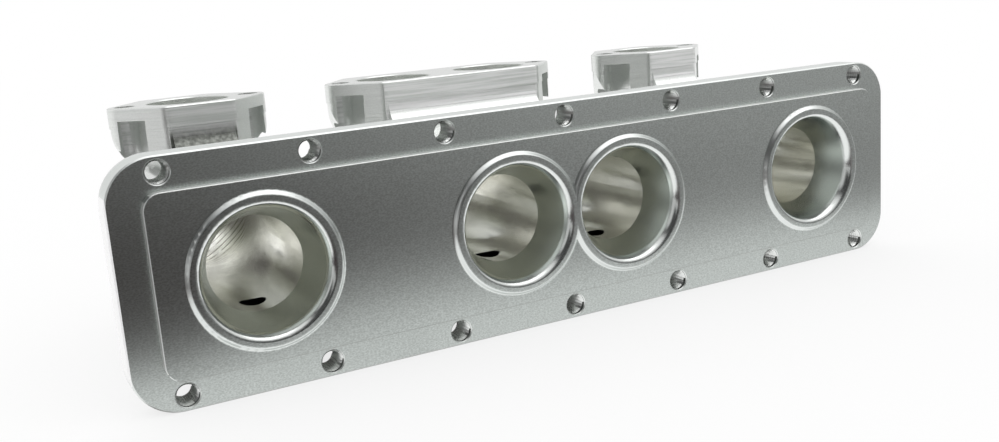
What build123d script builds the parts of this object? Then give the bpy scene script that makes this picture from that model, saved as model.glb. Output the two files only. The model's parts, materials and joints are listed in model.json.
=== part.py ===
from build123d import *
import os

# Lower intake manifold, milled from one billet of aluminium. A screw plate carries
# four bellmouths, and a runner goes straight back from each and turns up to a flange.
# Sizes are in millimetres. X runs along the plate, Y from the bellmouths to the back,
# Z up. The origin is under the middle of the part, level with the plate's lower edge.

# Screw plate
plate_length = 334.5
plate_height = 84.5
plate_thickness = 12.0
plate_corner_radius = 16.2
plate_edge_chamfer = 0.5

# Raised pad on the plate's front face, set in from the plate's ends and long edges
pad_end_margin = 10.75
pad_edge_margin = 11.25
pad_thickness = 3.75
pad_corner_radius = 6.0
pad_edge_chamfer = 0.3

# Screw holes of the plate, drawn at the thread's outer diameter
screw_columns = 7
screw_end_margin = 17.25
screw_edge_margin = 5.35
screw_diameter = 8.0
screw_mouth_chamfer = 0.35

# Bellmouths
inner_mouth_x = 25.0
outer_mouth_margin = 47.25
rim_base_radius = 27.3
rim_crest_outer_radius = 25.2
rim_crest_inner_radius = 23.9
rim_height = 1.5
lip_radius = 21.0
lip_depth = 3.5
throat_depth = 10.5

# Runners and the flange ports they turn up into, nearer the middle than the mouths
runner_radius = 16.75
runner_length = 104.2
inner_port_shift = 1.0
outer_port_shift = 5.1
port_radius = 16.5
port_mouth_chamfer = 0.4

# Runner blocks behind the plate
side_wall = 7.75
floor_wall = 10.25
roof_wall = 13.75
block_top_radius = 12.0
block_bottom_radius = 9.0
block_root_radius = 2.0
cove_radius = 11.5

# Two-bolt flanges
flange_height = 50.2
flange_thickness = 8.2
flange_front_depth = 22.0
flange_rear_depth = 25.5
flange_flat_half_width = 12.2
flange_corner_radius = 4.0
flange_step = 0.4
flange_edge_chamfer = 0.4
bolt_offset = 24.9
bolt_diameter = 8.2
ear_radius = 6.8
ear_thickness = 5.0
ear_undercut_radius = 20.0
pocket_clearance = 0.6
pocket_height = 18.0

# Injector bores in the runner floors
injector_y = 23.5
injector_tip_diameter = 9.6
injector_seat_diameter = 14.0
injector_seat_depth = 14.0
injector_boss_wall = 4.0
injector_boss_height = 10.5
injector_mouth_chamfer = 0.8

# Places worked out from the sizes above
pad_length = plate_length - 2 * pad_end_margin
pad_height = plate_height - 2 * pad_edge_margin
screw_pitch = (plate_length - 2 * screw_end_margin) / (screw_columns - 1)
screw_row_spacing = plate_height - 2 * screw_edge_margin
outer_mouth_x = plate_length / 2 - outer_mouth_margin
inner_port_x = inner_mouth_x - inner_port_shift
outer_port_x = outer_mouth_x - outer_port_shift
axis_z = plate_height / 2
front_reach = pad_thickness + rim_height
face_y = (front_reach - runner_length - flange_rear_depth) / 2
back_y = face_y + plate_thickness
pad_y = face_y - pad_thickness
crest_y = pad_y - rim_height
throat_y = face_y + throat_depth
port_y = face_y + runner_length
rear_y = port_y + flange_rear_depth
flange_z = axis_z + flange_height
step_z = flange_z - flange_thickness
block_top_z = axis_z + runner_radius + roof_wall
block_bottom_z = axis_z - runner_radius - floor_wall
block_half_width = runner_radius + side_wall
boss_radius = injector_seat_diameter / 2 + injector_boss_wall
boss_bottom_z = block_bottom_z - injector_boss_height

# Each runner's mouth and port; one flange serves each group of ports
runners = [
    (-outer_mouth_x, -outer_port_x),
    (-inner_mouth_x, -inner_port_x),
    (inner_mouth_x, inner_port_x),
    (outer_mouth_x, outer_port_x),
]
port_groups = [runners[0:1], runners[1:3], runners[3:4]]


def facing_front(y, z=0.0):
    """A sketch plane whose normal points out of the front, -Y."""
    return Plane(origin=(0, y, z), x_dir=(1, 0, 0), z_dir=(0, -1, 0))


def level(z):
    """A level sketch plane at height z."""
    return Plane.XY.offset(z)


def screw_plate():
    outline = RectangleRounded(plate_length, plate_height, plate_corner_radius)
    plate = extrude(facing_front(back_y, axis_z) * outline, plate_thickness)
    rims = plate.edges().filter_by(Plane.XZ)
    return chamfer(rims, plate_edge_chamfer)


def pad():
    """The raised pad, with its front edges broken."""
    outline = RectangleRounded(pad_length, pad_height, pad_corner_radius)
    raised = extrude(facing_front(face_y, axis_z) * outline, pad_thickness)
    top_edges = raised.faces().sort_by(Axis.Y)[0].edges()
    return chamfer(top_edges, pad_edge_chamfer)


def rim(x):
    """One raised rim, as a disc that its bellmouth is cut into later."""
    swell = (rim_base_radius - rim_crest_outer_radius) / 2
    flank = Bezier(
        (rim_crest_outer_radius, crest_y),
        (rim_crest_outer_radius + swell, crest_y),
        (rim_base_radius - swell, pad_y),
        (rim_base_radius, pad_y),
    )
    rest = Polyline(
        (rim_base_radius, pad_y),
        (rim_base_radius, face_y),
        (0, face_y),
        (0, crest_y),
        (rim_crest_outer_radius, crest_y),
    )
    section = make_face([flank, rest])
    return Pos(x, 0, axis_z) * revolve(section, Axis.Y)


def bellmouth(x):
    """The space inside one rim: a rounded lip, then a cone down to the throat."""
    lip_y = crest_y + lip_depth
    slope = (lip_radius - runner_radius) / (throat_y - lip_y)
    lip = Bezier(
        (rim_crest_inner_radius, crest_y),
        (lip_radius + lip_depth * slope, crest_y),
        (lip_radius, lip_y),
    )
    clear_y = crest_y - front_reach
    rest = Polyline(
        (lip_radius, lip_y),
        (runner_radius, throat_y),
        (0, throat_y),
        (0, clear_y),
        (rim_crest_inner_radius, clear_y),
        (rim_crest_inner_radius, crest_y),
    )
    section = make_face([lip, rest])
    return Pos(x, 0, axis_z) * revolve(section, Axis.Y)


def runner_passage(mouth_x, port_x):
    """Straight back from the throat, round a ball end and up out of the flange."""
    run = Vector(port_x - mouth_x, port_y - throat_y, 0)
    start = Pos(mouth_x) * facing_front(throat_y, axis_z) * Circle(runner_radius)
    straight = extrude(start, run.length, dir=run)
    elbow = Pos(port_x, port_y, axis_z) * Sphere(runner_radius)
    upright = extrude(level(axis_z) * Pos(port_x, port_y) * Circle(port_radius), flange_height)
    mouth_z = flange_z - port_mouth_chamfer
    mouth = Pos(port_x, port_y, mouth_z + port_mouth_chamfer / 2) * Cone(
        port_radius, port_radius + port_mouth_chamfer, port_mouth_chamfer
    )
    return straight + elbow + upright + mouth


def runner_block(group):
    """The block around one group of runners, cut at the back to the flange's outline."""
    mouth_low, port_low = group[0]
    mouth_high, port_high = group[-1]
    middle_mouth = (mouth_low + mouth_high) / 2
    middle_port = (port_low + port_high) / 2
    width = port_high - port_low + 2 * block_half_width
    height = block_top_z - block_bottom_z
    section = Rectangle(width, height)
    section = fillet(section.vertices().group_by(Axis.Y)[-1], block_top_radius)
    section = fillet(section.vertices().group_by(Axis.Y)[0], block_bottom_radius)
    run = Vector(middle_port - middle_mouth, port_y - back_y, 0)
    start_y = face_y + plate_thickness / 2
    middle_z = (block_top_z + block_bottom_z) / 2
    start = Pos(middle_mouth) * facing_front(start_y, middle_z) * section
    length = run.length * (rear_y - start_y) / (port_y - back_y)
    log = extrude(start, length, dir=run)
    outline = flange_outline(group, flange_step) + front_strip(group)
    return log & extrude(level(block_bottom_z) * outline, height)


def front_strip(group):
    """The plan area in front of the ports, wider than the runner block."""
    reach = block_half_width + bolt_offset
    low = min(group[0]) - reach
    high = max(group[-1]) + reach
    depth = port_y - face_y
    return Pos((low + high) / 2, port_y - depth / 2) * Rectangle(high - low, depth)


def ear_places(group):
    """The two bolt centres of a flange, with the side that each one is on."""
    return [(group[0][1] - bolt_offset, -1), (group[-1][1] + bolt_offset, 1)]


def flange_outline(group, inset):
    """Lozenge round the ears and the four rounded corners of the flats."""
    corner_front_y = port_y - flange_front_depth + flange_corner_radius
    corner_rear_y = rear_y - flange_corner_radius
    rounds = [
        Edge.make_circle(ear_radius - inset, Plane(origin=(x, port_y, 0)))
        for x, side in ear_places(group)
    ]
    for x in (group[0][1] - flange_flat_half_width, group[-1][1] + flange_flat_half_width):
        for y in (corner_front_y, corner_rear_y):
            corner = Plane(origin=(x, y, 0))
            rounds.append(Edge.make_circle(flange_corner_radius - inset, corner))
    return make_hull(rounds)


def flange(group):
    """Bolting plate on top of its column, whose ears curve in to the runner block."""
    plate = extrude(level(step_z) * flange_outline(group, 0), flange_thickness)
    plate = chamfer(plate.edges().group_by(Axis.Z)[-1], flange_edge_chamfer)
    foot_z = step_z - ear_undercut_radius
    column = extrude(level(foot_z) * flange_outline(group, flange_step), ear_undercut_radius)
    for x, side in ear_places(group):
        column -= ear_undercut(x + side * (ear_radius - flange_step), side)
    return plate + column + cove(group)


def ear_undercut(outer_x, side):
    """What is milled away under an ear, leaving a round shoulder."""
    centre_x = outer_x - side * ear_undercut_radius
    half = ear_undercut_radius / 2
    corner = Pos(centre_x + side * half, step_z - half) * Rectangle(
        ear_undercut_radius, ear_undercut_radius
    )
    cut = corner - Pos(centre_x, step_z) * Circle(ear_undercut_radius)
    depth = flange_front_depth + flange_rear_depth
    return extrude(facing_front(port_y) * cut, depth, both=True)


def cove(group):
    """The hollow-fronted foot that joins the flange's front flat to the block's top."""
    low = group[0][1] - flange_flat_half_width
    high = group[-1][1] + flange_flat_half_width
    flat_y = port_y - flange_front_depth + flange_step
    foot = Pos((low + high) / 2, flat_y - cove_radius / 2, step_z - cove_radius / 2) * Box(
        high - low, cove_radius, cove_radius
    )
    cutter = Pos((low + high) / 2, flat_y - cove_radius, step_z) * Rot(0, 90, 0) * Cylinder(
        cove_radius, high - low + cove_radius
    )
    return foot - cutter


def bolt_pocket(x):
    """Slot under an ear, open to the front, with the bolt hole above it."""
    top_z = flange_z - ear_thickness
    radius = (bolt_diameter + pocket_clearance) / 2
    outline = Pos(x, port_y) * Circle(radius) + Pos(x, port_y - flange_front_depth / 2) * Rectangle(
        2 * radius, flange_front_depth
    )
    slot = extrude(level(top_z - pocket_height) * outline, pocket_height)
    hole = Pos(x, port_y, flange_z - ear_thickness / 2) * Cylinder(bolt_diameter / 2, ear_thickness)
    return slot + hole


def injector_x(mouth_x, port_x):
    """Where the runner's centre line is above its injector."""
    share = (injector_y - throat_depth) / (runner_length - throat_depth)
    return mouth_x + share * (port_x - mouth_x)


def injector_boss(x):
    """Boss under the block that runs into the plate's back."""
    y = face_y + injector_y
    reach = y - back_y
    outline = Pos(x, y) * Circle(boss_radius) + Pos(x, y - reach / 2) * Rectangle(
        2 * boss_radius, reach
    )
    height = axis_z - runner_radius - boss_bottom_z
    return extrude(level(boss_bottom_z) * outline, height)


def injector_bore(x):
    """Seat from below, then a narrower way into the runner."""
    y = face_y + injector_y
    tip = Pos(x, y, (boss_bottom_z + axis_z) / 2) * Cylinder(
        injector_tip_diameter / 2, axis_z - boss_bottom_z
    )
    seat = Pos(x, y, boss_bottom_z + injector_seat_depth / 2) * Cylinder(
        injector_seat_diameter / 2, injector_seat_depth
    )
    mouth = Pos(x, y, boss_bottom_z + injector_mouth_chamfer / 2) * Cone(
        injector_seat_diameter / 2 + injector_mouth_chamfer,
        injector_seat_diameter / 2,
        injector_mouth_chamfer,
    )
    return tip + seat + mouth


def screw_hole():
    """One screw hole with a broken mouth, and the room in front of it for its screw."""
    radius = screw_diameter / 2
    mouth_radius = radius + screw_mouth_chamfer
    mouth_z = plate_thickness - screw_mouth_chamfer / 2
    hole = Pos(0, 0, plate_thickness / 2) * Cylinder(radius, plate_thickness)
    mouth = Pos(0, 0, mouth_z) * Cone(radius, mouth_radius, screw_mouth_chamfer)
    clearance = Pos(0, 0, plate_thickness + front_reach / 2) * Cylinder(mouth_radius, front_reach)
    return hole + mouth + clearance


def screw_holes():
    back = facing_front(back_y, axis_z)
    places = GridLocations(screw_pitch, screw_row_spacing, screw_columns, 2)
    return [back * place * screw_hole() for place in places]


def rounded_inside(body, y, radius):
    """Coves the roots of what stands on the plate's face at y."""
    level_faces = body.faces().filter_by(Axis.Y)
    nearest = level_faces.group_by(lambda face: round(abs(face.center().Y - y), 2))[0]
    face = nearest.sort_by(SortBy.AREA)[-1]
    return fillet([edge for wire in face.inner_wires() for edge in wire.edges()], radius)


def manifold_body():
    body = screw_plate() + [runner_block(group) for group in port_groups]
    body = rounded_inside(body, back_y, block_root_radius)
    body = body + pad() + [rim(mouth_x) for mouth_x, port_x in runners]
    body = body + [injector_boss(injector_x(*runner)) for runner in runners]
    body = body + [flange(group) for group in port_groups]
    body = body - [bellmouth(mouth_x) for mouth_x, port_x in runners]
    body = body - [runner_passage(*runner) for runner in runners]
    body = body - [injector_bore(injector_x(*runner)) for runner in runners]
    for group in port_groups:
        body = body - [bolt_pocket(x) for x, side in ear_places(group)]
    return body - screw_holes()


if __name__ == "__main__":
    os.makedirs("parts", exist_ok=True)
    export_step(manifold_body(), "parts/manifold_body.step")
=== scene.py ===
import bpy
import json
import math
from mathutils import Matrix, Vector


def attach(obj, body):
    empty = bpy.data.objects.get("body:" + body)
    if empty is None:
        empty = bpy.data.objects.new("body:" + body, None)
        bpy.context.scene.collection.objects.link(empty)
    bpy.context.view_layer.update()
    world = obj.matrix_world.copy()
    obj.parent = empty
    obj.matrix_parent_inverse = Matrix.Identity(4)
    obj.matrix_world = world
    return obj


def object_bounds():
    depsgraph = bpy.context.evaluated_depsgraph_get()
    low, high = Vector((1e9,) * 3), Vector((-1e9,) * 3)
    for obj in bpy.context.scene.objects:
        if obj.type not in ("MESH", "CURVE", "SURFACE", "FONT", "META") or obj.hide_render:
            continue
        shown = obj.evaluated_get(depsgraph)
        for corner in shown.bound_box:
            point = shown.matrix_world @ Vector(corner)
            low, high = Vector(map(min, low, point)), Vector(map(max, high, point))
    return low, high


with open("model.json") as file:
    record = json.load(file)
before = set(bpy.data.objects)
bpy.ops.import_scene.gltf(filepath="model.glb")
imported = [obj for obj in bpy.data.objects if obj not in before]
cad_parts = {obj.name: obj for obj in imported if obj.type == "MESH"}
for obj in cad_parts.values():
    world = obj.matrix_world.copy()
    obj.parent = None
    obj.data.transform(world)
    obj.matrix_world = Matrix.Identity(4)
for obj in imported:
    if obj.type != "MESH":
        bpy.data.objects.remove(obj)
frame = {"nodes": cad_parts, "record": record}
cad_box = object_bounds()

MM = 0.001

# Sizes that the frame states
lowest_corner, highest_corner = cad_box
mounts = {mount["name"]: mount for mount in frame["record"]["mounts"]}
screws = mounts["cover_screws_outer"]
next_screws = mounts["cover_screws_middle"]
PLATE_LENGTH = highest_corner[0] - lowest_corner[0]
CREST_Y = lowest_corner[1]
FACE_Y, AXIS_Z = screws["pos_m"][1:]
OUTER_PORT_X, PORT_Y, FLANGE_Z = mounts["right_flange_bolts"]["pos_m"]
SCREW_RADIUS = screws["dims"]["hole_r_mm"] * MM
SCREW_ROW_SPACING = screws["dims"]["spacing_y_mm"] * MM
SCREW_SPAN = screws["dims"]["spacing_x_mm"] * MM
SCREW_PITCH = (SCREW_SPAN - next_screws["dims"]["spacing_x_mm"] * MM) / 2
SCREW_COLUMNS = round(SCREW_SPAN / SCREW_PITCH) + 1

# More sizes of the manifold, as the CAD model has them
PLATE_THICKNESS = 12.0 * MM
BACK_Y = FACE_Y + PLATE_THICKNESS
PAD_LENGTH = 313.0 * MM
PAD_HEIGHT = 62.0 * MM
THROAT_Y = FACE_Y + 10.5 * MM
INJECTOR_Y = FACE_Y + 23.5 * MM
INNER_MOUTH_X = 25.0 * MM
OUTER_MOUTH_X = 120.0 * MM
INNER_PORT_X = 24.0 * MM
MOUTHS = (INNER_MOUTH_X, OUTER_MOUTH_X)
PORTS = (INNER_PORT_X, OUTER_PORT_X)
RUNNER_RADIUS = 16.75 * MM
RIM_BASE_RADIUS = 27.3 * MM
INJECTOR_SEAT_RADIUS = 7.0 * MM

# Screw threads
THREAD_PITCH = 1.25 * MM
THREAD_CREST_RADIUS = 3.4 * MM
THREAD_MOUTH_GAP = 0.4 * MM
THREAD_HALF_WIDTH = 0.45 * THREAD_PITCH
THREAD_STEPS_PER_TURN = 24

# Camera, worked out from the screw holes of the photograph
CAMERA_PLACE = Vector((-212.75, -405.82, 126.03)) * MM
CAMERA_RIGHT = Vector((0.87400, -0.48035, -0.07339))
CAMERA_UP = Vector((0.16301, 0.14756, 0.97553))
CAMERA_LENS = 38.825
SENSOR_WIDTH = 36.0
NEAREST_SEEN = 10 * MM

# The studio that the metal mirrors. An edge gives two values of the direction's x, y or z,
# or of its share toward the lamp, and the light changes between the first and the second.
MIRRORED_WHITE = 0.97
ROOM_EDGE = (0.0, 0.75)
ROOM_LEVELS = (0.06, 0.30)
LAMP_DIRECTION = (0.35, -0.15, 0.92)
LAMP_EDGE = (0.52, 0.80)
LAMP_MIDDLE_EDGE = (0.82, 0.95)
LAMP_MIDDLE_EXTRA = 0.9
BACK_WALL_EDGE = (-0.15, 0.25)
LEFT_WALL_EDGE = (-0.55, -0.8)
LEFT_WALL_FRONT = (-0.42, -0.2)
LEFT_WALL_LEVEL = 0.7
RIGHT_WALL_EDGE = (0.6, 0.9)
RIGHT_WALL_FOOT = (0.0, 0.4)
RIGHT_WALL_LEVEL = 0.95
LOW_LEFT_EDGE = (-0.3, -0.6)
LOW_LEFT_TOP = (0.3, 0.02)
LOW_LEFT_LEVEL = 0.7

# The floor, and the edges of its bright and dark patches where the metal mirrors it
FLOOR_HALF_WIDTH = 3.0
PAPER_WHITE_SHARE = 0.74
CLOSE_EDGE = (40 * MM, 150 * MM)
NARROWER_LEFT = (-60 * MM, -160 * MM)
NARROWER_LEFT_BY = 0.7
NARROWER_RIGHT = (160 * MM, 300 * MM)
FAR_EDGE = (-150 * MM, 450 * MM)
FAR_LEVELS = (0.05, 0.38)
FARTHEST_EDGE = (660 * MM, 770 * MM)
FARTHEST_ASIDE = (0.0, 450 * MM)
FARTHEST_LEVELS = (0.35, 1.0)
DARK_LEFT_EDGE = (-200 * MM, -290 * MM)
DARK_LEFT_END = (-520 * MM, -400 * MM)
DARK_LEFT_BACK = (60 * MM, -30 * MM)
DARK_LEFT_SHARE = 0.9
FAR_LEFT_EDGE = (-400 * MM, -600 * MM)
FAR_LEFT_FRONT = (-500 * MM, -300 * MM)
FAR_LEFT_LEVEL = 0.75
UNDER_FRONT = (0.5 * MM, -1.0 * MM)
UNDER_BACK = (75 * MM, 60 * MM)
UNDER_ENDS = (172 * MM, 162 * MM)
UNDER_SHADE = 0.85

# Where the zones on the metal end. A slack lets a zone reach a little past the true size,
# and a margin keeps it off an edge.
RUNNER_SLACK = 0.3 * MM
THROAT_SLACK = 0.02 * MM
PORT_MOUTH_MARGIN = 0.5 * MM
SCREW_SLACK = 0.05 * MM
SCREW_MOUTH_MARGIN = 0.36 * MM
SEAT_SLACK = 0.1 * MM
UNDER_PASSAGE_SLACK = 0.2 * MM
FACE_SLACK = 0.3 * MM
BACK_SLACK = 0.1 * MM
PAD_SIDE_REACH = 1.0 * MM
PLATE_END_REACH = 0.6 * MM
LIP_DEPTH = 3.4 * MM
FLARE_RADIUS = 22.0 * MM
FLANK_RADIUS = 24.6 * MM
FLANGES_START_Z = 70 * MM
LEFT_END = (-60 * MM, -95 * MM)
COVE_Y = 14.0 * MM
COVE_HALF_WIDTH = 6.5 * MM
COVE_START_Z = 72.6 * MM
COVE_TOP = (85 * MM, 79 * MM)
ELBOW_START = (-12 * MM, 10 * MM)
ELBOW_TOP = (AXIS_Z + 20 * MM, AXIS_Z + 12 * MM)
PORT_START = (AXIS_Z + 20 * MM, AXIS_Z + 35 * MM)
SMOOTH_FRONT = (15 * MM, -25 * MM)

# How a surface has to face to count as front, back, upright or facing down
FRONT_NORMAL_Y = -0.93
BACK_NORMAL_Y = 0.2
UPRIGHT_NORMAL_Z = 0.4
DOWN_NORMAL_Z = -0.3

# Colours of the bare metal, by how it was cut, with painted shade or painted highlight where noted
WHITE = (1.0, 1.0, 1.0, 1)
NEARLY_BLACK = (0.01, 0.0, 0.0, 1)
MACHINED = ((0.84, 0.86, 0.84, 1), (0.90, 0.92, 0.90, 1))
BACK_FACES = ((0.62, 0.64, 0.62, 1), (0.68, 0.70, 0.68, 1))
SATIN = ((0.45, 0.48, 0.46, 1), (0.63, 0.67, 0.65, 1))
FLANGE_FRONTS = ((0.78, 0.80, 0.78, 1), WHITE)
# Painted shade in the cove under the left flange's front facet, mottled by noise
MOTTLED_COVE_SHADE = ((0.11, 0.115, 0.105, 1), (0.27, 0.28, 0.26, 1))
TURNED = (0.84, 0.87, 0.85, 1)
# Painted shade: the flares are darker than the turned rims, standing for the dark passages they mirror
SHADED_FLARES = (0.60, 0.635, 0.605, 1)
# Painted light on the pad's step faces, and painted shade where they face down
LIT_PAD_EDGES = (0.95, 0.97, 0.95, 1)
SHADED_PAD_LOWER_EDGE = (0.50, 0.52, 0.50, 1)
PASSAGES = (0.98, 0.98, 0.945, 1)
PASSAGE_SCORES = (0.40, 0.39, 0.34, 1)
PORT_MOUTHS = (0.93, 0.945, 0.925, 1)
# Painted shade inside the screw holes, and nearly black painted shade inside the injector seats
SHADED_SCREW_HOLES = (0.17, 0.18, 0.17, 1)
SHADED_INJECTOR_SEATS = (0.03, 0.03, 0.03, 1)

# Patterns on the metal: waves per metre along x, y and z, and the stretch of the noise
# that a pattern takes from none to full
GRAIN_SCALE = (1300.0, 1300.0, 2300.0)
GRAIN_RANGE = (0.28, 0.72)
LINE_SCALE = (30.0, 30.0, 1300.0)
LINE_RANGE = (0.35, 0.65)
STREAK_SCALE = (90.0, 12.0, 90.0)
STREAK_RANGE = (0.35, 0.65)
MOTTLE_SCALE = (700.0, 700.0, 700.0)
MOTTLE_RANGE = (0.25, 0.75)
SCORE_BREAK_SCALE = (160.0, 160.0, 160.0)
SCORE_BREAK_RANGE = (0.3, 0.55)
SCORE_LINE_RANGE = (0.55, 0.95)
SCORE_PITCH = 1.15 * MM
SCORE_CENTRE_PAST_PORT = (9 * MM, 8 * MM, 12 * MM)
GRAIN_HEIGHT = 0.05 * MM
GRAIN_STRENGTH = 0.1
PASSAGE_GRAIN_STRENGTH = 0.02
TOOL_MARK_HEIGHT = 0.4 * MM
TOOL_MARK_STRENGTH = 0.4

# How rough the metal is, and what the passages add to it
ROUGHNESS = 0.22
SMOOTH_FRONT_ROUGHNESS = -0.11
PASSAGE_ROUGHNESS = -0.03
STREAK_ROUGHNESS = 0.08


def aim_camera():
    data = bpy.data.cameras.new("camera")
    data.lens = CAMERA_LENS
    data.sensor_width = SENSOR_WIDTH
    data.sensor_fit = "HORIZONTAL"
    data.clip_start = NEAREST_SEEN
    camera = bpy.data.objects.new("camera", data)
    back = CAMERA_RIGHT.cross(CAMERA_UP)
    turn = Matrix((CAMERA_RIGHT, CAMERA_UP, back)).transposed()
    camera.matrix_world = Matrix.Translation(CAMERA_PLACE) @ turn.to_4x4()
    bpy.context.scene.collection.objects.link(camera)
    bpy.context.scene.camera = camera


class Nodes:
    """Short calls for the shader nodes that a material or the world is built from. A
    share is a value from 0 to 1 that says how far something applies."""

    def __init__(self, owner):
        owner.use_nodes = True
        self.tree = owner.node_tree
        self.tree.nodes.clear()

    def feed(self, socket, value):
        if isinstance(value, bpy.types.NodeSocket):
            self.tree.links.new(value, socket)
        else:
            socket.default_value = value

    def add(self, kind, *values, **settings):
        """A new node with its settings, and with its first sockets fed in their order."""
        node = self.tree.nodes.new(kind)
        for name, value in settings.items():
            setattr(node, name, value)
        for socket, value in zip(node.inputs, values):
            self.feed(socket, value)
        return node

    def result(self, kind, **inputs):
        """The first output of a new node whose sockets of these names are fed."""
        node = self.add(kind)
        for name, value in inputs.items():
            self.feed(node.inputs[name.replace("_", " ")], value)
        return node.outputs[0]

    def math(self, operation, *values):
        return self.add("ShaderNodeMath", *values, operation=operation).outputs[0]

    def minus(self, value, taken):
        return self.math("SUBTRACT", value, taken)

    def absolute(self, value):
        return self.math("ABSOLUTE", value)

    def near(self, value, target):
        """How far a value is from a target, either way."""
        return self.absolute(self.minus(value, target))

    def nearest(self, value, targets):
        """How far a value is from the nearer one of two targets."""
        return self.math("MINIMUM", *[self.near(value, target) for target in targets])

    def below(self, value, limit):
        return self.math("LESS_THAN", value, limit)

    def above(self, value, limit):
        return self.math("GREATER_THAN", value, limit)

    def both(self, first, *others):
        for other in others:
            first = self.math("MULTIPLY", first, other)
        return first

    def either(self, first, *others):
        for other in others:
            first = self.math("MAXIMUM", first, other)
        return first

    def ramp(self, value, low, high, start=0.0, end=1.0):
        """Smooth step from start to end, while the value goes from low to high."""
        return self.add("ShaderNodeMapRange", value, low, high, start, end,
                        interpolation_type="SMOOTHSTEP").outputs[0]

    def shifted(self, start, share, amount):
        """The start, with the amount added where the share is 1."""
        return self.math("MULTIPLY_ADD", share, amount, start)

    def mixed(self, share, first, second):
        return self.shifted(first, share, self.minus(second, first))

    def mixed_vector(self, share, first, second):
        node = self.add("ShaderNodeMix", data_type="VECTOR")
        for place, value in ((0, share), (4, first), (5, second)):
            self.feed(node.inputs[place], value)
        return node.outputs[1]

    def mixed_colour(self, share, first, second):
        node = self.add("ShaderNodeMix", data_type="RGBA")
        for place, value in ((0, share), (6, first), (7, second)):
            self.feed(node.inputs[place], value)
        return node.outputs[2]

    def mixed_shader(self, share, first, second):
        return self.add("ShaderNodeMixShader", share, first, second).outputs[0]

    def parts(self, vector):
        return list(self.add("ShaderNodeSeparateXYZ", vector).outputs)

    def vector(self, x, y, z):
        return self.add("ShaderNodeCombineXYZ", x, y, z).outputs[0]

    def length(self, x, y, z=0.0):
        node = self.add("ShaderNodeVectorMath", self.vector(x, y, z), operation="LENGTH")
        return node.outputs["Value"]

    def dot(self, first, second):
        node = self.add("ShaderNodeVectorMath", first, second, operation="DOT_PRODUCT")
        return node.outputs["Value"]

    def unit(self, vector):
        return self.add("ShaderNodeVectorMath", vector, operation="NORMALIZE").outputs[0]

    def noise(self, place, scale, detail):
        """Noise with its own number of waves per metre along each axis."""
        stretched = self.add("ShaderNodeVectorMath", place, scale, operation="MULTIPLY").outputs[0]
        return self.result("ShaderNodeTexNoise", Vector=stretched, Scale=1.0, Detail=detail)


def light_world():
    """White for the camera and for soft light; what shines on the metal is a wide lamp
    overhead at the right, a white back, paler sides and a dark room in front."""
    world = bpy.data.worlds.new("studio")
    bpy.context.scene.world = world
    n = Nodes(world)
    direction = n.add("ShaderNodeTexCoord").outputs["Generated"]
    x, y, z = n.parts(direction)
    toward_lamp = n.dot(direction, LAMP_DIRECTION)
    lamp = n.ramp(toward_lamp, *LAMP_EDGE)
    back_wall = n.ramp(y, *BACK_WALL_EDGE)
    left_wall = n.both(n.ramp(x, *LEFT_WALL_EDGE), n.ramp(y, *LEFT_WALL_FRONT, end=LEFT_WALL_LEVEL))
    right_wall = n.both(n.ramp(x, *RIGHT_WALL_EDGE), n.ramp(z, *RIGHT_WALL_FOOT, end=RIGHT_WALL_LEVEL))
    room = n.ramp(x, *ROOM_EDGE, *ROOM_LEVELS)
    level = n.mixed(n.either(lamp, back_wall, left_wall, right_wall), room, MIRRORED_WHITE)
    low_left = n.both(n.ramp(x, *LOW_LEFT_EDGE), n.ramp(z, *LOW_LEFT_TOP, end=LOW_LEFT_LEVEL))
    lamp_middle = n.ramp(toward_lamp, *LAMP_MIDDLE_EDGE, end=LAMP_MIDDLE_EXTRA)
    level = n.math("ADD", n.either(level, low_left), lamp_middle)
    studio = n.result("ShaderNodeBackground", Strength=level)
    white = n.result("ShaderNodeBackground", Color=WHITE)
    mirrored = n.add("ShaderNodeLightPath").outputs["Is Glossy Ray"]
    n.add("ShaderNodeOutputWorld", n.mixed_shader(mirrored, white, studio))


def floor_shine(n, x, y):
    """How bright the floor is in the metal: white close to the part, dark under it, in
    front of it and at the left, and paler again far away."""
    ahead = n.minus(FACE_Y, y)
    narrower_left = n.shifted(1.0, n.ramp(x, *NARROWER_LEFT), NARROWER_LEFT_BY)
    narrower = n.math("ADD", narrower_left, n.ramp(x, *NARROWER_RIGHT))
    close = n.ramp(n.both(ahead, narrower), *CLOSE_EDGE, 1.0, 0.0)
    farthest = n.both(n.ramp(x, *FARTHEST_ASIDE, *FARTHEST_LEVELS), n.ramp(ahead, *FARTHEST_EDGE))
    far = n.either(n.ramp(x, *FAR_EDGE, *FAR_LEVELS), farthest)
    dark_left = n.both(n.ramp(x, *DARK_LEFT_EDGE), n.ramp(x, *DARK_LEFT_END, end=DARK_LEFT_SHARE),
                       n.ramp(y, *DARK_LEFT_BACK))
    far_left = n.both(n.ramp(x, *FAR_LEFT_EDGE, end=FAR_LEFT_LEVEL), n.ramp(y, *FAR_LEFT_FRONT))
    level = n.both(n.mixed(close, far, MIRRORED_WHITE), n.minus(1.0, dark_left))
    under = n.both(n.ramp(ahead, *UNDER_FRONT), n.ramp(y, *UNDER_BACK),
                   n.ramp(n.absolute(x), *UNDER_ENDS))
    return n.both(n.either(level, far_left), n.shifted(1.0, under, -UNDER_SHADE))


def floor_white():
    """White paper that keeps a soft shadow. The metal mirrors it as floor_shine says."""
    material = bpy.data.materials.new("floor_white")
    n = Nodes(material)
    place = n.parts(n.add("ShaderNodeTexCoord").outputs["Object"])
    shine_colour = n.mixed_colour(floor_shine(n, place[0], place[1]), NEARLY_BLACK, WHITE)
    shine = n.result("ShaderNodeEmission", Color=shine_colour)
    shaded = n.result("ShaderNodeBsdfDiffuse", Color=WHITE)
    paper = n.mixed_shader(PAPER_WHITE_SHARE, shaded, n.result("ShaderNodeEmission"))
    path = n.add("ShaderNodeLightPath")
    seen = n.mixed_shader(path.outputs["Is Camera Ray"], shaded, paper)
    n.add("ShaderNodeOutputMaterial", n.mixed_shader(path.outputs["Is Glossy Ray"], seen, shine))
    return material


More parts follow.
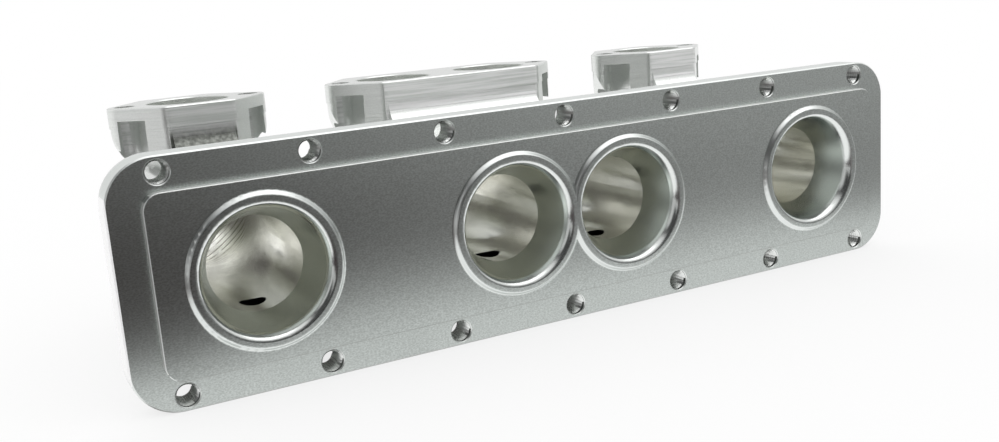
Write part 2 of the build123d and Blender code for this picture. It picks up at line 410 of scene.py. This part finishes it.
def lay_floor():
    mesh = bpy.data.meshes.new("floor")
    half = FLOOR_HALF_WIDTH
    corners = [(-half, -half, 0), (half, -half, 0), (half, half, 0), (-half, half, 0)]
    mesh.from_pydata(corners, [], [(0, 1, 2, 3)])
    mesh.materials.append(floor_white())
    floor = bpy.data.objects.new("floor", mesh)
    bpy.context.scene.collection.objects.link(floor)


def inside_runners(n, at):
    """The walls of the four passages, behind the throats and up the ports."""
    wall = RUNNER_RADIUS + RUNNER_SLACK
    along = n.math("DIVIDE", n.minus(at.y, THROAT_Y), PORT_Y - THROAT_Y)
    axes = [n.shifted(mouth_x, along, port_x - mouth_x) for mouth_x, port_x in zip(MOUTHS, PORTS)]
    from_axis = n.length(n.nearest(at.aside, axes), n.minus(at.z, AXIS_Z))
    level_part = n.both(n.below(from_axis, wall), n.above(at.y, THROAT_Y + THROAT_SLACK),
                        n.below(at.y, PORT_Y + wall))
    from_port = n.length(n.nearest(at.aside, PORTS), n.minus(at.y, PORT_Y))
    upright_part = n.both(n.below(from_port, wall), n.below(at.z, FLANGE_Z - PORT_MOUTH_MARGIN),
                          n.above(at.z, AXIS_Z - RUNNER_RADIUS))
    return n.either(level_part, upright_part)


def inside_screw_holes(n, at):
    column = n.math("PINGPONG", at.x, SCREW_PITCH / 2)
    row = n.minus(n.near(at.z, AXIS_Z), SCREW_ROW_SPACING / 2)
    from_middle = n.near(at.y, FACE_Y + PLATE_THICKNESS / 2)
    return n.both(n.below(n.length(column, row), SCREW_RADIUS + SCREW_SLACK),
                  n.below(from_middle, PLATE_THICKNESS / 2 - SCREW_MOUTH_MARGIN))


def inside_injector_seats(n, at):
    along = (INJECTOR_Y - THROAT_Y) / (PORT_Y - THROAT_Y)
    axes = [mouth_x + along * (port_x - mouth_x) for mouth_x, port_x in zip(MOUTHS, PORTS)]
    from_axis = n.nearest(at.aside, axes)
    near_seat = n.below(n.length(from_axis, n.minus(at.y, INJECTOR_Y)), INJECTOR_SEAT_RADIUS + SEAT_SLACK)
    under_passage = n.above(n.length(from_axis, n.minus(at.z, AXIS_Z)), RUNNER_RADIUS + UNDER_PASSAGE_SLACK)
    return n.both(near_seat, under_passage, n.below(at.z, AXIS_Z - RUNNER_RADIUS + RUNNER_SLACK))


class Surface:
    """The point of the metal that is shaded: its place, its normal, and the shares that
    say which zones it is in. Zones overlap, and all but the left end and its cove have
    hard sides."""

    def __init__(self, n):
        self.place = n.add("ShaderNodeTexCoord").outputs["Object"]
        self.x, self.y, self.z = n.parts(self.place)
        self.aside = n.absolute(self.x)
        self.normal = n.add("ShaderNodeNewGeometry").outputs["Normal"]
        self.normal_y, self.normal_z = n.parts(self.normal)[1:]
        self.faces_front = n.below(self.normal_y, FRONT_NORMAL_Y)
        self.faces_back = n.above(self.normal_y, BACK_NORMAL_Y)
        self.passage = inside_runners(n, self)
        self.in_screw = inside_screw_holes(n, self)
        self.in_injector = inside_injector_seats(n, self)
        self.find_front_zones(n)
        self.find_rear_zones(n)

    def find_front_zones(self, n):
        from_mouth = n.length(n.nearest(self.aside, MOUTHS), n.minus(self.z, AXIS_Z))
        self.satin = n.both(self.faces_front, n.below(self.y, FACE_Y + FACE_SLACK))
        self.turned = n.both(n.below(self.y, THROAT_Y), n.minus(1.0, self.satin))
        self.deep = n.both(self.turned, n.above(self.y, CREST_Y + LIP_DEPTH))
        self.flare = n.both(self.deep, n.below(from_mouth, FLARE_RADIUS))
        self.flank = n.both(self.turned, n.above(from_mouth, FLANK_RADIUS))
        self.rim = n.both(self.turned, n.below(from_mouth, RIM_BASE_RADIUS))
        past_rims = n.either(n.above(n.near(self.z, AXIS_Z), PAD_HEIGHT / 2 - PAD_SIDE_REACH),
                             n.above(self.aside, PAD_LENGTH / 2 - PAD_SIDE_REACH))
        self.pad_side = n.both(self.turned, past_rims, n.below(self.y, FACE_Y))
        self.pad_below = n.both(self.pad_side, n.below(self.normal_z, DOWN_NORMAL_Z))
        self.plate_end = n.above(self.aside, PLATE_LENGTH / 2 - PLATE_END_REACH)

    def find_rear_zones(self, n):
        upright = n.below(n.absolute(self.normal_z), UPRIGHT_NORMAL_Z)
        self.left_end = n.ramp(self.x, *LEFT_END)
        self.milled = n.both(n.above(self.y, BACK_Y + BACK_SLACK), upright, n.minus(1.0, self.passage))
        self.flange_front = n.both(self.milled, self.faces_front, n.above(self.z, FLANGES_START_Z))
        in_cove = n.below(n.near(self.y, COVE_Y), COVE_HALF_WIDTH)
        cove_height = n.both(n.above(self.z, COVE_START_Z), n.ramp(self.z, *COVE_TOP))
        self.left_cove = n.both(in_cove, cove_height, self.left_end)


def elbow_scores(n, at):
    """Thin broken arcs that a ball cutter left in the elbows."""
    past_x, past_y, past_z = SCORE_CENTRE_PAST_PORT
    from_centre = n.length(n.nearest(at.aside, [port_x + past_x for port_x in PORTS]),
                           n.minus(at.y, PORT_Y + past_y), n.minus(at.z, AXIS_Z + past_z))
    wave = n.math("SINE", n.math("MULTIPLY", from_centre, 2 * math.pi / SCORE_PITCH))
    broken = n.ramp(n.noise(at.place, SCORE_BREAK_SCALE, detail=2.0), *SCORE_BREAK_RANGE)
    in_elbow = n.both(n.ramp(at.y, *ELBOW_START), n.ramp(at.z, *ELBOW_TOP), at.passage)
    return n.both(n.ramp(wave, *SCORE_LINE_RANGE), broken, in_elbow)


def metal_colour(n, at, grain, lines):
    """The colour of each zone, laid over those before it."""
    mottle = n.ramp(n.noise(at.place, MOTTLE_SCALE, detail=3.0), *MOTTLE_RANGE)
    scored_passages = n.mixed_colour(elbow_scores(n, at), PASSAGES, PASSAGE_SCORES)
    layers = (
        (at.faces_back, n.mixed_colour(grain, *BACK_FACES)),
        (at.flange_front, n.mixed_colour(n.ramp(lines, *LINE_RANGE), *FLANGE_FRONTS)),
        # painted shade, mottled, in the left flange's cove
        (at.left_cove, n.mixed_colour(mottle, *MOTTLED_COVE_SHADE)),
        (at.satin, n.mixed_colour(grain, *SATIN)),
        (at.turned, TURNED),
        # painted shade on the flares
        (at.flare, SHADED_FLARES),
        # painted highlight: the plate's end faces in plain white
        (at.plate_end, WHITE),
        # painted light on the pad's step faces, painted shade where they face down
        (at.pad_side, LIT_PAD_EDGES),
        (at.pad_below, SHADED_PAD_LOWER_EDGE),
        (at.passage, n.mixed_colour(n.ramp(at.z, *PORT_START), scored_passages, PORT_MOUTHS)),
        # painted shade in the screw holes and injector seats
        (at.in_screw, SHADED_SCREW_HOLES),
        (at.in_injector, SHADED_INJECTOR_SEATS),
    )
    base = n.mixed_colour(grain, *MACHINED)
    for zone, colour in layers:
        base = n.mixed_colour(zone, base, colour)
    return base


def metal_roughness(n, at):
    """What each zone adds to the roughness. The passages are smoothest in front."""
    streak = n.ramp(n.noise(at.place, STREAK_SCALE, detail=2.0), *STREAK_RANGE)
    in_passage = n.math("ADD", n.shifted(PASSAGE_ROUGHNESS, streak, STREAK_ROUGHNESS),
                        n.ramp(at.y, *SMOOTH_FRONT, end=SMOOTH_FRONT_ROUGHNESS))
    rough = ROUGHNESS
    for zone, amount in (
        (at.satin, 0.08),
        (at.turned, -0.05),
        (at.deep, 0.09),
        (at.flank, 0.11),
        (at.pad_side, 0.3),
        (at.milled, n.shifted(0.07, at.left_end, 0.1)),
        (at.passage, in_passage),
    ):
        rough = n.shifted(rough, zone, amount)
    return rough


def metal_share(n, at):
    """How far the surface mirrors as metal. The rest scatters light as brushed faces do."""
    share = 1.0
    for zone, amount in (
        (at.passage, -0.08),
        (at.flange_front, n.shifted(-0.6, at.left_end, 0.4)),
        (at.plate_end, -0.7),
    ):
        share = n.shifted(share, zone, amount)
    return share


def rim_normal(n, at):
    """The surface normal, on the rims without its part round the mouth's axis, so that a
    turned rim shines evenly all the way round."""
    outer = n.above(at.aside, sum(MOUTHS) / 2)
    mouth_x = n.mixed(outer, *MOUTHS)
    from_mouth = n.both(n.minus(at.aside, mouth_x), n.math("SIGN", at.x))
    radial = n.unit(n.vector(from_mouth, 0.0, n.minus(at.z, AXIS_Z)))
    outward = n.dot(at.normal, radial)
    radial_x, radial_z = n.parts(radial)[::2]
    even = n.vector(n.both(radial_x, outward), at.normal_y, n.both(radial_z, outward))
    return n.unit(n.mixed_vector(at.rim, at.normal, even))


def machined_aluminium():
    """Bare milled aluminium: satin front faces, turned rims, ball-milled elbows and
    flanges with cutter lines."""
    material = bpy.data.materials.new("machined_aluminium")
    n = Nodes(material)
    at = Surface(n)
    grain = n.ramp(n.noise(at.place, GRAIN_SCALE, detail=3.0), *GRAIN_RANGE)
    lines = n.noise(at.place, LINE_SCALE, detail=4.0)
    grained = n.result("ShaderNodeBump", Normal=rim_normal(n, at), Height=grain, Distance=GRAIN_HEIGHT,
                       Strength=n.mixed(at.passage, GRAIN_STRENGTH, PASSAGE_GRAIN_STRENGTH))
    marked = n.result("ShaderNodeBump", Normal=grained, Height=lines, Distance=TOOL_MARK_HEIGHT,
                      Strength=n.both(at.milled, TOOL_MARK_STRENGTH))
    metal = n.result("ShaderNodeBsdfPrincipled", Base_Color=metal_colour(n, at, grain, lines),
                     Metallic=metal_share(n, at), Roughness=metal_roughness(n, at), Normal=marked)
    n.add("ShaderNodeOutputMaterial", metal)
    return material


def dress_body(material):
    body = frame["nodes"]["manifold_body"]
    body.data.materials.clear()
    body.data.materials.append(material)


def thread_mesh():
    """The ridge of one screw thread, as a helix of three-point sections along +Y."""
    length = PLATE_THICKNESS - 2 * THREAD_MOUTH_GAP - THREAD_PITCH
    steps = int(length / THREAD_PITCH * THREAD_STEPS_PER_TURN)
    section = ((SCREW_RADIUS, -THREAD_HALF_WIDTH), (THREAD_CREST_RADIUS, 0.0),
               (SCREW_RADIUS, THREAD_HALF_WIDTH))
    points, faces = [], []
    for step in range(steps + 1):
        turns = step / THREAD_STEPS_PER_TURN
        angle = 2 * math.pi * turns
        middle = THREAD_MOUTH_GAP + THREAD_PITCH * (0.5 + turns)
        points += [(radius * math.cos(angle), middle + shift, radius * math.sin(angle))
                   for radius, shift in section]
        if step < steps:
            low = len(section) * step
            faces.append((low, low + 1, low + 4, low + 3))
            faces.append((low + 1, low + 2, low + 5, low + 4))
    mesh = bpy.data.meshes.new("thread")
    mesh.from_pydata(points, [], faces)
    return mesh


def cut_threads(material):
    mesh = thread_mesh()
    mesh.materials.append(material)
    for column in range(SCREW_COLUMNS):
        for row in (-1, 1):
            x = (column - (SCREW_COLUMNS - 1) / 2) * SCREW_PITCH
            z = AXIS_Z + row * SCREW_ROW_SPACING / 2
            thread = bpy.data.objects.new(f"thread_{column}_{row}", mesh)
            thread.location = (x, FACE_Y, z)
            bpy.context.scene.collection.objects.link(thread)
            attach(thread, "root")


bpy.context.scene.view_settings.view_transform = "Standard"
bpy.context.scene.cycles.max_bounces = 18
bpy.context.scene.cycles.glossy_bounces = 16
bpy.context.scene.cycles.diffuse_bounces = 8
aim_camera()
light_world()
lay_floor()
aluminium = machined_aluminium()
dress_body(aluminium)
cut_threads(aluminium)
